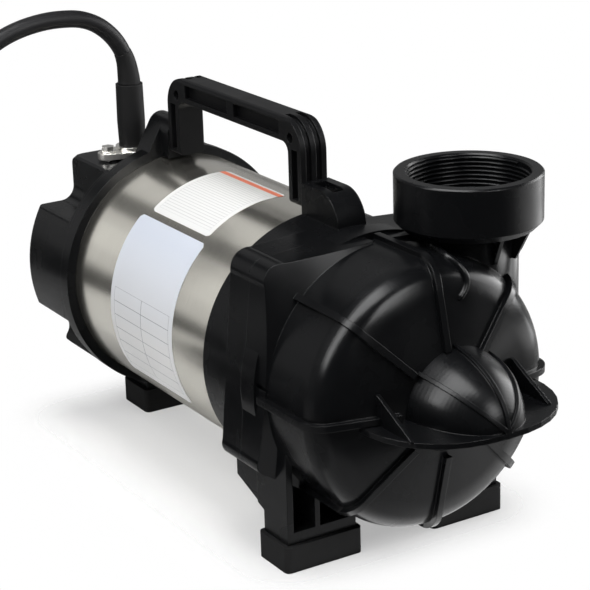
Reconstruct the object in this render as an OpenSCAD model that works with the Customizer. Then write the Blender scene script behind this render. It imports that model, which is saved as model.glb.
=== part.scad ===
// Submersible sump pump, lying on its side: a stainless motor can between a ribbed
// pump casing with a threaded discharge and a rear cover, with a carrying handle.
// The pump is drawn with its shaft along Y (front towards -Y) and Z up. Along the
// shaft, a station counts millimetres forward from the front edge of the motor can.

/* [Stance] */
// Height of the shaft axis above the floor
axis_h = 127; // [124:1:140]
// Width of a front rubber foot
foot_w = 64; // [56:1:70]
// Depth of a front rubber foot
foot_d = 39; // [34:1:42]
// Distance from the middle to the centre of a front foot
foot_x = 63; // [58:1:70]
// Width of the rear rubber foot
rear_foot_w = 71; // [50:1:80]
// Depth of the rear rubber foot
rear_foot_d = 42; // [34:1:46]
// Height of the rubber feet
foot_h = 20; // [14:1:20]
// Wall of the rubber feet
foot_t = 3.5; // [2:0.5:5]
// Rubber under each leg
foot_sole = 4; // [3:0.5:8]

/* [Motor can] */
// Outer radius of the stainless can
can_r = 96; // [94:0.5:97]
// Sheet thickness of the can
can_t = 1.5; // [1:0.1:2.5]
// Length of the can that shows
can_len = 217; // [190:1:260]
// Length of the can held inside each end casting
can_lap = 12; // [8:0.5:12]
// Thickness of the flat gaskets behind the can's ends
gasket_t = 2; // [1:0.5:2]

/* [Bracket] */
// Radius of the bracket that carries the front end of the can
bracket_r = 99.5; // [99:0.5:101]
// Length of the bracket along the shaft
bracket_len = 58; // [56:1:64]
// Thickness of the bracket's wall across the shaft
bracket_web = 8; // [7:0.5:10]
// Distance from the shaft to the upper casing bolts
ear_d = 112; // [111:0.5:115]
// Radius of the upper bolt ears
ear_r = 14; // [12:0.5:15]
// Angle of the upper bolt ears above the horizontal
ear_ang = 46; // [42:1:50]
// Distance from the shaft to the lower casing bolts
low_ear_d = 106.5; // [106.5:0.5:108]
// Radius of the lower bolt ears
low_ear_r = 9.5; // [9:0.5:11]
// Angle of the lower bolt ears below the horizontal
low_ear_ang = 27; // [24:1:32]
// Length of the bracket's half of each ear
ear_len = 26; // [20:1:30]

/* [Pump casing] */
// Outer radius of the casing
casing_r = 98.3; // [97:0.1:99]
// Wall of the casing
casing_t = 5.5; // [4:0.5:6]
// Radius of the casing's flange
flange_r = 102; // [101:0.5:104]
// Width of the casing's flange
flange_w = 22; // [20:1:24]
// Width of the groove ahead of the flange
groove_w = 4; // [2:0.5:6]
// Depth of that groove below the casing's side
groove_depth = 2.5; // [1:0.5:3]
// Length from the flange's joint to the start of the rounded shoulder
side_len = 76; // [72:1:84]
// Radius of the rounded shoulder
shoulder_r = 16; // [12:1:20]
// Slope of the casing's front
front_slope = 14; // [10:1:18]
// Height of the casing's ribs
rib_h = 4; // [2:0.5:5]
// Thickness of the casing's ribs
rib_t = 5; // [2.5:0.1:6]
// Number of ribs round the casing
rib_n = 8; // [4:2:12]
// Radius of the suction eye
eye_r = 28.5; // [24:0.5:28.5]
// Thickness of the lip round the suction eye
eye_lip = 4; // [3:0.5:4]

/* [Suction visor] */
// Width of the visor plate
visor_w = 150; // [130:1:152]
// How far the visor plate stands ahead of the shoulder's front
visor_reach = 72; // [66:1:84]
// Thickness of the visor plate
visor_t = 4; // [3:0.5:6]
// How far the top of the visor plate lies below the shaft axis
visor_drop = 3; // [2:0.5:6]
// Sideways place of the visor
visor_x = 8; // [5:0.5:9]
// Outer radius of the hood over the suction eye
hood_r = 43; // [42:0.5:45]
// Wall of the hood
hood_t = 3; // [2:0.5:3]
// Height of the hood's ribs
hood_rib_h = 2; // [1:0.1:3]
// Half the distance between the two stiffening fins
fin_x = 57; // [50:1:60]
// Height of the fins at the casing
fin_h = 21; // [12:1:24]
// Thickness of the fins
fin_t = 3; // [2:0.5:4]

/* [Discharge] */
// Sideways place of the discharge
outlet_x = 62.5; // [60:0.5:64]
// Station of the discharge
outlet_s = 103; // [100:1:106]
// Outer radius of the discharge neck
neck_r = 35.5; // [33:0.5:36]
// Wall of the discharge neck
neck_t = 5; // [4:0.5:6]
// Height of the collar's top above the shaft axis
outlet_rise = 142.5; // [140:0.5:155]
// Outer radius of the collar
collar_r = 53; // [51:0.5:56]
// Height of the collar
collar_h = 39.5; // [38:0.5:41]
// Bottom chamfer of the collar
collar_chamfer = 5; // [2:0.5:6]
// Radius of the pipe thread's crests
thread_r = 43.8; // [42:0.1:46]
// Depth of the threaded socket
thread_len = 34; // [30:1:35]
// Height of the gussets under the collar
gusset_h = 20; // [12:1:24]

/* [Rear cover] */
// Radius of the rear cover's flange
rear_flange_r = 103.5; // [103.5:0.5:105]
// Width of the rear cover's flange
rear_flange_w = 13; // [10:0.5:14]
// Radius of the rear cover's body
rear_r = 103; // [102:0.5:103]
// Length of the rear cover behind the can
rear_len = 78; // [78:1:90]
// Rounding of the rear cover's back edge
rear_round = 5; // [3:0.5:8]
// Wall of the rear cover's back
back_t = 10; // [9:0.5:11]
// Height of the flat gland seat above the shaft axis
seat_rise = 88; // [87:0.5:89]
// Radius of the hollow corner of each scoop in the rear cover's sides
scoop_r = 12; // [10:0.5:13]
// Half width of the rear cover's head, between the upper scoops
head_x = 56; // [55:0.5:58]
// Height of the upper scoops' floor above the shaft axis
scoop_floor = 50.5; // [50:0.5:54]
// Slope of the lower scoops' floor
low_scoop_ang = 36.5; // [34:0.5:40]
// Distance from the shaft to the lower scoops' floor
low_scoop_d = 85; // [85:0.5:90]
// Rounding of the scoops' outer edges
scoop_edge = 4.5; // [3:0.5:6]

/* [Handle] */
// Width of the handle
handle_w = 22; // [18:1:26]
// Thickness of the handle's legs
leg_t = 18; // [16:0.5:20]
// Thickness of the handle's grip
grip_t = 18.5; // [16:0.5:22]
// Height of the handle's top above the shaft axis
handle_rise = 167; // [162:1:180]
// Outer corner radius of the handle
handle_round = 24; // [18:1:28]
// Inner corner radius of the handle
handle_inner = 8; // [5:0.5:12]
// Depth of the grooves over the handle's ends
grip_groove = 2.5; // [1:0.5:3]
// Rounding of the handle's edges
handle_edge = 3.5; // [1:0.5:5]
// Gap between the handle's legs and the can
handle_clear = 7; // [4:0.5:9]
// Width of the two handle lugs
lug_w = 24; // [22:1:30]
// Height of the front lug's top above the shaft axis
lug_rise = 122.5; // [121:0.5:126]
// Height of the rear lug's top above the shaft axis
rear_lug_rise = 129; // [127:0.5:132]
// Length of the front lug
front_lug = 49; // [46:1:52]
// Length of the rear lug
rear_lug = 34; // [32:1:36]
// How far the rear lug reaches forward over the can
lug_reach = 13.5; // [11:0.5:15]

/* [Gland] */
// Sideways place of the cable gland
gland_x = -16; // [-18:1:-8]
// Distance of the gland behind the can
gland_back = 43; // [42:1:48]
// Distance from the gland to each of its bolts
gland_bolt_d = 23; // [21:0.5:24]
// Thickness of the gland's clamp plate
clamp_t = 5; // [3:0.5:6]
// Radius of the clamp plate at the cable
clamp_r = 16; // [15:0.5:17]
// Length of the rubber cable boot above its seat
boot_len = 62; // [50:1:74]
// Radius of the cable boot at its foot
boot_r = 11; // [10.5:0.1:11.5]
// Radius of the cable boot at its mouth
boot_top_r = 11.2; // [10:0.1:11.5]

/* [Power cord] */
// Diameter of the cord
cord_d = 14; // [14:1:14]
// Distance between the coil's turns
coil_pitch = 14.8; // [14.8:0.1:15]
// Turns in each layer of the coil
coil_turns = 2.75; // [2:0.05:2.8]
// Radius of the coil's inmost turn
coil_in_r = 56; // [56:1:62]
// Length of the plug's body
plug_len = 52; // [44:1:60]
// Width of the plug's body
plug_w = 30; // [26:1:34]

/* [Motor] */
// Length of the stator's stack
stack_len = 100; // [80:1:110]
// Distance from the can's front edge to the stator's stack
stack_gap = 55; // [50:1:60]
// Radius of the rotor
rotor_r = 48; // [44:0.5:50]
// Air gap between rotor and stator
air_gap = 0.5; // [0.4:0.1:1]
// Number of stator slots
slot_n = 24; // [12:6:36]
// Depth of the stator slots
slot_depth = 22; // [18:0.5:23]
// Length of the winding's end turns
end_turn = 20; // [14:1:24]
// Distance from the shaft to the tie bolts
tie_d = 80; // [79:0.5:80.5]

/* [Shaft line] */
// Radius of the shaft in the front bearing and the seal
shaft_r = 8.5; // [8.4:0.1:8.6]
// Radius of the shaft's middle
shaft_mid_r = 12; // [11.6:0.1:12.4]
// Radius of the shaft in the rear bearing
shaft_rear_r = 7.5; // [7.4:0.1:7.6]
// Outer radius of the front bearing
front_brg_r = 20; // [19.5:0.5:21]
// Width of the front bearing
front_brg_w = 12; // [12:0.5:12]
// Outer radius of the rear bearing
rear_brg_r = 17.5; // [17:0.5:18.5]
// Width of the rear bearing
rear_brg_w = 11; // [10:0.5:12]
// Radius of the impeller
impeller_r = 62; // [50:1:70]
// Length of the impeller
impeller_len = 26; // [22:1:30]
// Number of impeller vanes
vane_n = 6; // [3:1:8]

/* [Hidden] */
$fn = 96;

// Clearances: a loose seat, a close seat, a running fit and a bolt in its clearance hole
seat_gap = 0.15;
close_gap = 0.03;
run_gap = 0.05;
hood_step = 3;
bolt_gap = 0.3;
spot_gap = 1;
spot_depth = 0.5;

// Stations along the shaft
joint_s = bracket_len;
web_s = can_lap + gasket_t;
flange_end_s = joint_s + flange_w;
shoulder_s = joint_s + side_len;
front_s = shoulder_s + shoulder_r;
visor_tip_s = front_s + visor_reach;
hood_reach = visor_reach - 2;
can_back_s = -can_len;
rear_web_s = can_back_s - can_lap - gasket_t;
rear_end_s = can_back_s - rear_len;
cavity_end_s = rear_end_s + back_t;

// Joint bolts
bolt_r = 3;
bolt_head_r = 5.8;
bolt_head_h = 4.2;
washer_t = 1.4;
bolt_bite = 16;
ear_rise = 12;
ears = [[ear_ang, ear_d, ear_r], [180 - ear_ang, ear_d, ear_r],
        [180 + low_ear_ang, low_ear_d, low_ear_r], [-low_ear_ang, low_ear_d, low_ear_r]];
web_inset = 0.4;

// Casing and what seats in it
shoulder_c = [casing_r - shoulder_r, shoulder_s];
chamber_r = casing_r - casing_t;
plate_t = 6;
plate_face_s = joint_s + plate_t;
o_ring_r = 1.5;
o_ring_track_r = chamber_r + 3.5;
eye_lip_r = eye_r + eye_lip;
eye_front_s = front_s + 16;
fin_flat = 8;
fin_share = 0.66;
neck_bore_r = neck_r - neck_t;
collar_top = axis_h + outlet_rise;
collar_base = collar_top - collar_h;

// Legs and feet
foot_back_s = joint_s + 5;
leg_wall = 5;
leg_rib_x = 18;
leg_top = axis_h - 30;
pocket_d = 32;
skirt_back_s = 28;
skirt_low = 50;
skirt_slope_end = 39;
rear_foot_back_s = can_back_s - 5;

// Bracket
hub_r = front_brg_r + 8;
oil_r = 52;
oil_wall = 4;
ring_pocket_r = bracket_r - 7.5;

// Handle
handle_front_s = -0.5;
handle_back_s = can_back_s + lug_reach + 0.5;
handle_low = can_r + handle_clear;
screw_rise = lug_rise - 11;
screw_head_r = 4.8;
screw_head_h = 6;
screw_key = 2.6;
lug_slot_w = 2 * screw_head_r + 0.8;
lug_slot_s = 6;
lug_round = 25;
rear_lug_base = seat_rise - 2;
flank_ang = 60;
screw_bite = 14;
grip_web = 10;
grip_wall = 4;

// Gland
gland_s = can_back_s - gland_back;
seat_z = axis_h + seat_rise;
clamp_z = seat_z + 2;
boot_top_z = seat_z + boot_len;
boot_swell = 0.6;

// Motor
stator_r = can_r - can_t - seat_gap;
stator_bore_r = rotor_r + air_gap;
stack_front_s = -stack_gap;
stack_back_s = stack_front_s - stack_len;
slot_root = stator_bore_r + 2;
slot_w = 5;
tie_r = 3;
tie_head_r = 5.5;
tie_head_h = 4;
tie_angles = [6, 174, 238, 302];

// Shaft line
scoop_wall = 4.5;
low_wall_x = 17;
cavity_r = norm([head_x + scoop_r, scoop_floor + scoop_r]) - scoop_r - scoop_wall;
rear_brg_s = rear_web_s - 2 - rear_brg_w;
lip_seal_r = 16;
hub_bore_s = front_brg_w;
seal_s = joint_s - 2;
impeller_back_s = plate_face_s + 3;
impeller_front_s = impeller_back_s + impeller_len;
hub_nose = 5;
nut_h = 7;
stud_r = 5;
impeller_bore_r = shaft_r - 0.5;

// Bounding box of the pump without its cord, which the origin is the bottom middle of
side_reach = max(rear_flange_r, low_ear_d * cos(low_ear_ang) + low_ear_r);
origin_x = (outlet_x + collar_r - side_reach) / 2;
origin_y = (-rear_end_s - visor_tip_s) / 2;

black = "#26282b";
dull_black = "#1d1e20";
steel = "#c8c4b8";
bright = "#d8d8d4";
iron = "#80807c";
copper = "#b4693a";
rubber = "#18181a";
brass = "#b59a55";

// The free cord's route from the boot's mouth to the coil, in millimetres from the
// gland (first stretch) and the same points that the coil starts from
cord_r = cord_d / 2;
coil_x = -306;
coil_y = 190;
tie_t = 0.8;
coil_z = cord_r + tie_t + 0.1;
coil_layers = 4;
coil_out_r = coil_in_r + coil_pitch * coil_turns;
cord_route = [
    [-16, 260, 277], [-16, 260, 282], [-18, 260, 297], [-23.5, 260, 310], [-32, 260, 321],
    [-43.5, 260, 330], [-57, 260, 335.5], [-72, 260, 337.5], [-88, 260, 337.5],
    [-106, 260, 335], [-123, 260, 330], [-139, 260, 322], [-154, 260.5, 311],
    [-168, 261.5, 297], [-180, 263, 280], [-189.5, 265, 261], [-197, 267.5, 239],
    [-202.5, 270, 215], [-206, 272.5, 188], [-208, 274.5, 160], [-209, 276, 131],
    [-209.3, 277, 103], [-209.3, 277, 84], [-209.3, 273.5, 63], [-209.3, 264.5, 43],
    [-209.3, 250.5, 26], [-209.3, 234, 14.5], [-209.3, 218, 9], [-209.3, 204, 7.9],
    [-209.3, 190, 7.9]];
// The tail from the coil's end up to the plug, which lies on the coil: degrees past the
// coil's end, distance from the coil's middle and height
tail_route = [
    [0, 96.7, 52.3], [8, 97, 53.3], [17, 97.4, 56], [27, 97.5, 60.5], [37, 97, 65.2],
    [46, 95.3, 69], [55, 92.5, 71.5], [63, 89, 72.5], [70, 85.2, 72.5]];
plug_h = 26;

// Places a drawing at the model's origin
module placed() translate([-origin_x, -origin_y, 0]) children();

// Turns a drawing in the front view (X right, Y up, Z forward) onto the shaft axis
module on_shaft(s = 0) translate([0, -s, axis_h]) rotate([90, 0, 0]) children();

// Turns a drawing in the side view (X along Y, Y up) and extrudes it across
module across(x, w) translate([x, 0, 0]) rotate([90, 0, 90]) linear_extrude(w) children();

// A tube between two radii
module ring(r_out, r_in, h) difference() {
    cylinder(r = r_out, h = h);
    translate([0, 0, -1]) cylinder(r = r_in, h = h + 2);
}

// A round boss at distance d and the straight-sided web that runs tangent to radius big
module boss_2d(big, d, r) {
    b = acos((big - r) / d);
    w_big = big - web_inset;
    w_r = r - web_inset;
    translate([d, 0]) circle(r);
    polygon([[w_big * cos(b), w_big * sin(b)], [d + w_r * cos(b), w_r * sin(b)],
             [d + w_r * cos(b), -w_r * sin(b)], [w_big * cos(b), -w_big * sin(b)]]);
}

module ears_2d(big) for (e = ears) rotate(e[0]) boss_2d(big, e[1], e[2]);

module ear_holes(r, s, h) for (e = ears) rotate(e[0])
    translate([e[1], 0, s]) cylinder(r = r, h = h);

// A rectangle with round corners
module round_rect(w, h, r) {
    translate([r, 0]) square([w - 2 * r, h]);
    translate([0, r]) square([w, h - 2 * r]);
    for (x = [r, w - r], y = [r, h - r]) translate([x, y]) circle(r);
}

// Half section of the casing's side, shoulder and conical front, grown by g
module casing_section(g, s) {
    f = shoulder_r + g;
    t = [shoulder_c[0] + f * sin(front_slope), shoulder_c[1] + f * cos(front_slope)];
    translate([0, s]) square([casing_r + g, shoulder_s - s]);
    translate(shoulder_c) circle(f);
    polygon([[0, shoulder_s - 1], [shoulder_c[0], shoulder_s - 1], shoulder_c, t,
             [0, t[1] + t[0] * tan(front_slope)]]);
}

// Outside of the casing ahead of its flange, with the ribs, grown by g
module casing_skin(g) {
    rotate_extrude() casing_section(g, flange_end_s);
    intersection() {
        rotate_extrude() difference() {
            casing_section(rib_h + g, flange_end_s);
            square([eye_lip_r + 6, 2 * front_s]);
        }
        for (i = [0 : rib_n / 2 - 1]) rotate(i * 360 / rib_n)
            translate([-2 * casing_r, -rib_t / 2 - g, 0])
                cube([4 * casing_r, rib_t + 2 * g, 2 * front_s]);
    }
}

// Side view of a casing leg: Y backwards, Z up
module leg_side() polygon([
    [-(foot_back_s + foot_d - foot_t), foot_sole],
    [-(foot_back_s + foot_t), foot_sole],
    [-(foot_back_s + foot_t), skirt_slope_end - 3],
    [-joint_s, skirt_slope_end],
    [-joint_s, leg_top],
    [-(foot_back_s + foot_d - foot_t), leg_top]]);

// Pockets that leave a leg as an open box of ribs
module leg_pockets() {
    front = -(foot_back_s + foot_d);
    low = foot_h + 9;
    w = foot_w - 2 * foot_t;
    for (p = [[leg_wall, leg_rib_x], [leg_wall + leg_rib_x + 4, w - leg_wall]])
        translate([p[0], front, low]) cube([p[1] - (p[0] == leg_wall ? 0 : p[0]), pocket_d, axis_h]);
}

module casing_leg() translate([foot_x - foot_w / 2 + foot_t, 0, 0]) difference() {
    across(0, foot_w - 2 * foot_t) leg_side();
    translate([foot_w - 2 * foot_t, 0, 0]) mirror([1, 0, 0]) leg_pockets();
}

module pump_casing() color(black) placed() difference() {
    union() {
        on_shaft() {
            translate([0, 0, joint_s]) cylinder(r = flange_r, h = flange_w - groove_w);
            translate([0, 0, joint_s]) cylinder(r = casing_r - groove_depth, h = flange_w + 1);
            translate([0, 0, joint_s]) intersection() {
                linear_extrude(flange_w + ear_rise) ears_2d(flange_r - 2);
                rotate_extrude() polygon([
                    [0, 0], [ear_d + ear_r, 0], [ear_d + ear_r, flange_w - 3],
                    [casing_r, flange_w + ear_rise - 4], [0, flange_w + ear_rise - 4]]);
            }
            casing_skin(0);
            translate([0, 0, front_s]) cylinder(r = eye_lip_r, h = eye_front_s - front_s);
        }
        translate([outlet_x, -outlet_s, axis_h]) cylinder(r = neck_r, h = collar_base - axis_h);
        casing_leg();
        mirror([1, 0, 0]) casing_leg();
    }
    on_shaft() {
        rotate_extrude() casing_section(-casing_t, joint_s - 1);
        translate([0, 0, shoulder_s]) cylinder(r = eye_r, h = front_s);
        translate([0, 0, joint_s - 1]) ring(o_ring_track_r + o_ring_r, o_ring_track_r - o_ring_r,
                                            2 * o_ring_r + 1);
        ear_holes(bolt_r + close_gap, joint_s - 1, bolt_bite + 2);
    }
    translate([outlet_x, -outlet_s, axis_h]) cylinder(r = neck_bore_r, h = outlet_rise);
}

module discharge_collar() color(black) placed() translate([outlet_x, -outlet_s, 0]) {
    lip = 1.2;
    rotate_extrude() polygon([
        [neck_bore_r, collar_base], [collar_r - collar_chamfer, collar_base],
        [collar_r, collar_base + collar_chamfer], [collar_r, collar_top - lip],
        [collar_r - lip, collar_top], [thread_r + lip, collar_top],
        [thread_r, collar_top - lip], [thread_r, collar_top - thread_len],
        [neck_bore_r, collar_top - thread_len]]);
    for (a = [-97 : 33 : 2]) rotate(a) translate([0, 1.5, 0]) rotate([90, 0, 0])
        linear_extrude(3) polygon([
            [neck_r + run_gap, collar_base + 1], [neck_r + run_gap, collar_base - gusset_h],
            [neck_r + 2, collar_base - gusset_h], [collar_r - collar_chamfer - 1, collar_base],
            [collar_r - collar_chamfer - 1, collar_base + 1]]);
}

// Plan of the visor: a blunt oval ahead of the casing's front
function visor_plan(a, b, n) = [for (t = [0 : 10 : 180])
    [a * sign(cos(t)) * pow(abs(cos(t)), 2 / n), -front_s - b * pow(sin(t), 2 / n)]];

// Half section of the hood, a quarter of an ellipse, grown by g
module hood_section(g) polygon(concat([[0, front_s - 6], [hood_r + g, front_s - 6]],
    [for (t = [0 : hood_step : 90])
        [(hood_r + g) * cos(t), front_s + (hood_reach + g) * sin(t)]]));

module suction_visor() color(black) placed() difference() {
    union() {
        translate([visor_x, 0, axis_h - visor_drop - visor_t]) linear_extrude(visor_t)
            polygon(concat(visor_plan(visor_w / 2, visor_reach, 2.3),
                           [[-visor_w / 2, -front_s + 20], [visor_w / 2, -front_s + 20]]));
        on_shaft() translate([visor_x, -visor_drop, 0]) {
            rotate_extrude(angle = 180) hood_section(0);
            intersection() {
                rotate_extrude(angle = 180) hood_section(hood_rib_h);
                for (a = [45, 90, 135]) rotate(a) translate([0, -1.5, 0])
                    cube([2 * hood_r, 3, visor_tip_s]);
            }
        }
        for (side = [-1, 1]) translate([visor_x / 2 + side * fin_x - fin_t / 2, 0, 0])
            across(0, fin_t) polygon([
                [-front_s + 8, axis_h - visor_drop - 1],
                [-front_s + 8, axis_h - visor_drop + fin_h],
                [-front_s - fin_flat, axis_h - visor_drop + fin_h],
                [-front_s - fin_share * visor_reach, axis_h - visor_drop + 1],
                [-front_s - fin_share * visor_reach, axis_h - visor_drop - 1]]);
    }
    on_shaft() translate([visor_x, -visor_drop, 0])
        rotate_extrude() hood_section(-hood_t);
    on_shaft() {
        casing_skin(run_gap);
        cylinder(r = eye_lip_r + run_gap, h = eye_front_s + run_gap);
    }
}

module backing_plate() color(iron) placed() on_shaft() difference() {
    union() {
        translate([0, 0, joint_s]) cylinder(r = chamber_r - seat_gap, h = plate_t);
        translate([0, 0, joint_s - 4]) cylinder(r = lip_seal_r + 6, h = 5);
    }
    cylinder(r = shaft_r + 1, h = 2 * joint_s);
    cylinder(r = lip_seal_r + close_gap, h = seal_s + 6);
}

module casing_o_ring() color(rubber) placed() on_shaft(joint_s + o_ring_r) rotate_extrude()
    translate([o_ring_track_r, 0]) circle(o_ring_r - run_gap);

// The front lug in side view: its flat face at 0, its length behind it, Y up
module lug_side(l, low) difference() {
    translate([0, low]) square([l, lug_rise - low]);
    translate([l - lug_round, lug_rise - lug_round]) difference() {
        square(lug_round + 1);
        circle(lug_round);
    }
}

module screw_hole() translate([0, 1, axis_h + screw_rise]) rotate([90, 0, 0])
    cylinder(r = bolt_r + bolt_gap, h = lug_slot_s + 5);

// The front lug, with the slot over its screw's head, its flat face at 0
module handle_lug(l, low) difference() {
    translate([-lug_w / 2, 0, axis_h]) mirror([0, 1, 0]) across(0, lug_w) lug_side(l, low);
    translate([-lug_slot_w / 2, -l + lug_round - 8, axis_h + screw_rise - lug_slot_w / 2])
        cube([lug_slot_w, l - lug_round + 8 - lug_slot_s, lug_rise]);
    screw_hole();
}

// Front view of the rear lug: a round top, and flanks that spread towards the cover
module rear_lug_2d(spread) {
    r = lug_w / 2;
    mid = rear_lug_rise - r;
    foot = spread ? r * sin(flank_ang) + (mid + r * cos(flank_ang) - rear_lug_base)
        / tan(flank_ang) : r;
    touch = spread ? [r * sin(flank_ang), mid + r * cos(flank_ang)] : [r, mid];
    translate([0, mid]) circle(r);
    polygon([[-foot, rear_lug_base], [-touch[0], touch[1]], [touch[0], touch[1]],
             [foot, rear_lug_base]]);
}

module rear_handle_lug() difference() {
    on_shaft() {
        translate([0, 0, can_back_s + lug_reach - rear_lug]) linear_extrude(rear_lug)
            intersection() {
                rear_lug_2d(false);
                translate([-lug_w, can_r + 1]) square([2 * lug_w, rear_lug_rise]);
            }
        translate([0, 0, can_back_s + lug_reach - rear_lug])
            linear_extrude(rear_lug - lug_reach) rear_lug_2d(true);
    }
    translate([0, -can_back_s - lug_reach + lug_slot_s, axis_h + screw_rise])
        rotate([-90, 0, 0]) cylinder(r = lug_slot_w / 2, h = rear_lug);
    translate([0, -can_back_s - lug_reach, 0]) mirror([0, 1, 0]) screw_hole();
    on_shaft() translate([0, 0, rear_web_s]) cylinder(r = can_r + seat_gap, h = rear_len);
}

module motor_bracket() color(black) placed() {
    difference() {
        union() {
            on_shaft() {
                cylinder(r = bracket_r, h = joint_s);
                translate([0, 0, joint_s - ear_len]) linear_extrude(ear_len) ears_2d(bracket_r);
            }
            for (side = [-1, 1])
                across(side * (foot_x - 1) - (foot_w / 2 - foot_t), foot_w - 2 * foot_t)
                polygon([[-joint_s, skirt_slope_end], [-skirt_back_s, skirt_low],
                         [-skirt_back_s, leg_top], [-joint_s, leg_top]]);
        }
        on_shaft() {
            translate([0, 0, -1]) cylinder(r = can_r + seat_gap, h = web_s + 1);
            translate([0, 0, web_s + bracket_web]) cylinder(r = oil_r, h = joint_s);
            translate([0, 0, web_s + bracket_web]) ring(ring_pocket_r, oil_r + oil_wall, joint_s);
            cylinder(r = lip_seal_r + close_gap, h = joint_s);
            ear_holes(bolt_r + bolt_gap, 0, joint_s + 1);
            ear_holes(bolt_head_r + spot_gap, -1, joint_s - ear_len + 1 + spot_depth);
            tie_places() translate([0, 0, web_s - 1]) cylinder(r = tie_r + close_gap, h = bracket_web);
        }
    }
    on_shaft() difference() {
        translate([0, 0, -2]) cylinder(r = hub_r, h = web_s + 3);
        translate([0, 0, -3]) cylinder(r = front_brg_r + close_gap, h = 3 + hub_bore_s);
        cylinder(r = shaft_mid_r - 1, h = web_s + 2);
        translate([0, 0, web_s]) cylinder(r = lip_seal_r + close_gap, h = 5);
    }
    handle_lug(front_lug, can_r + 1);
}

module tie_places() for (a = tie_angles) rotate(a) translate([tie_d, 0, 0]) children();

module casing_bolts() color(bright) placed() on_shaft() for (e = ears) rotate(e[0])
    translate([e[1], 0, joint_s - ear_len + spot_depth]) {
        translate([0, 0, -washer_t]) cylinder(r = bolt_head_r + 0.5, h = washer_t);
        translate([0, 0, -washer_t - bolt_head_h])
            cylinder(r = bolt_head_r, h = bolt_head_h + 0.5, $fn = 6);
        cylinder(r = bolt_r, h = ear_len - spot_depth + bolt_bite);
    }

module motor_can() color(steel) placed() on_shaft(can_back_s - can_lap)
    ring(can_r, can_r - can_t, can_len + 2 * can_lap);

module gasket(s) placed() on_shaft(s) ring(can_r, can_r - 4, gasket_t);

module front_gasket() color(rubber) gasket(can_lap);

module rear_gasket() color(rubber) gasket(rear_web_s);

// What a scoop cuts away, drawn for the upper left: a floor at height f, a wall at -x
// with a hollow corner between them, and a rounded edge where the floor meets the side
module scoop_2d(x, f) {
    far = 2 * rear_r;
    c = [-sqrt(pow(rear_r - scoop_edge, 2) - pow(f - scoop_edge, 2)), f - scoop_edge];
    difference() {
        polygon([[-x, f], [-far, f], [-far, far], [-x, far]]);
        translate([-x - scoop_r, f]) difference() {
            square([scoop_r + 1, scoop_r]);
            translate([0, scoop_r]) circle(scoop_r);
        }
    }
    difference() {
        polygon([c, c + far * unit(c), [-far, far], [c[0], far]]);
        translate(c) circle(scoop_edge);
    }
}

module rear_body() difference() {
    rotate_extrude() {
        translate([0, rear_end_s]) square([rear_r - rear_round, rear_len]);
        translate([0, rear_end_s + rear_round]) square([rear_r, rear_len - rear_round]);
        translate([rear_r - rear_round, rear_end_s + rear_round]) circle(rear_round);
    }
    for (side = [0, 1]) mirror([side, 0, 0]) translate([0, 0, rear_end_s - 1])
        linear_extrude(rear_web_s - 3 - rear_end_s + 1) {
            scoop_2d(head_x, scoop_floor);
            rotate(-low_scoop_ang) mirror([0, 1]) scoop_2d(low_wall_x, low_scoop_d);
        }
    translate([-rear_r, seat_rise, rear_end_s - 1]) cube([2 * rear_r, rear_r, rear_len]);
}

module rear_cover() color(black) placed() {
    difference() {
        union() {
            on_shaft() {
                rear_body();
                translate([0, 0, can_back_s - rear_flange_w])
                    cylinder(r = rear_flange_r, h = rear_flange_w);
            }
            translate([-rear_foot_w / 2 + foot_t, -rear_foot_back_s + foot_t, foot_sole])
                cube([rear_foot_w - 2 * foot_t, rear_foot_d - 2 * foot_t, axis_h - rear_r + 10]);
        }
        on_shaft() {
            translate([0, 0, rear_web_s]) cylinder(r = can_r + seat_gap, h = rear_len);
            translate([0, 0, cavity_end_s]) cylinder(r = cavity_r, h = rear_len);
            tie_places() {
                translate([0, 0, rear_end_s - 1]) cylinder(r = tie_r + bolt_gap, h = rear_len);
                translate([0, 0, rear_end_s - 1])
                    cylinder(r = tie_head_r + 1.5, h = tie_head_h + 1.5);
            }
        }
        translate([gland_x, -gland_s, axis_h + seat_rise - 20]) cylinder(r = boot_r, h = 21);
        for (side = [-1, 1]) translate([gland_x + side * gland_bolt_d, -gland_s, seat_z - 20])
            cylinder(r = tie_r + close_gap, h = 21);
    }
    on_shaft() difference() {
        translate([0, 0, cavity_end_s - 1])
            cylinder(r = rear_brg_r + 6, h = rear_brg_s + rear_brg_w - cavity_end_s + 1);
        translate([0, 0, rear_brg_s]) cylinder(r = rear_brg_r + close_gap, h = rear_brg_w + 1);
        translate([0, 0, cavity_end_s + 4]) cylinder(r = rear_brg_r - 3, h = rear_len);
    }
    on_shaft() translate([-capacitor_clip / 2, capacitor_y - capacitor_r - 5, cavity_end_s - 1])
        cube([capacitor_clip, 5, capacitor_back + capacitor_r + 1]);
    rear_handle_lug();
}

module tie_bolts() color(bright) placed() on_shaft() tie_places() {
    translate([0, 0, rear_end_s + 0.5]) cylinder(r = tie_head_r, h = tie_head_h, $fn = 6);
    translate([0, 0, rear_end_s + tie_head_h]) cylinder(r = tie_r,
        h = web_s + bracket_web - 2 - rear_end_s - tie_head_h);
}

// Side view of the handle's outline, its corners at the front and back of the grip
module handle_outline(l, h, r) translate([0, handle_low]) {
    translate([0, h - 2 * r]) round_rect(l, 2 * r, r);
    square([l, h - r]);
}

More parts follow.
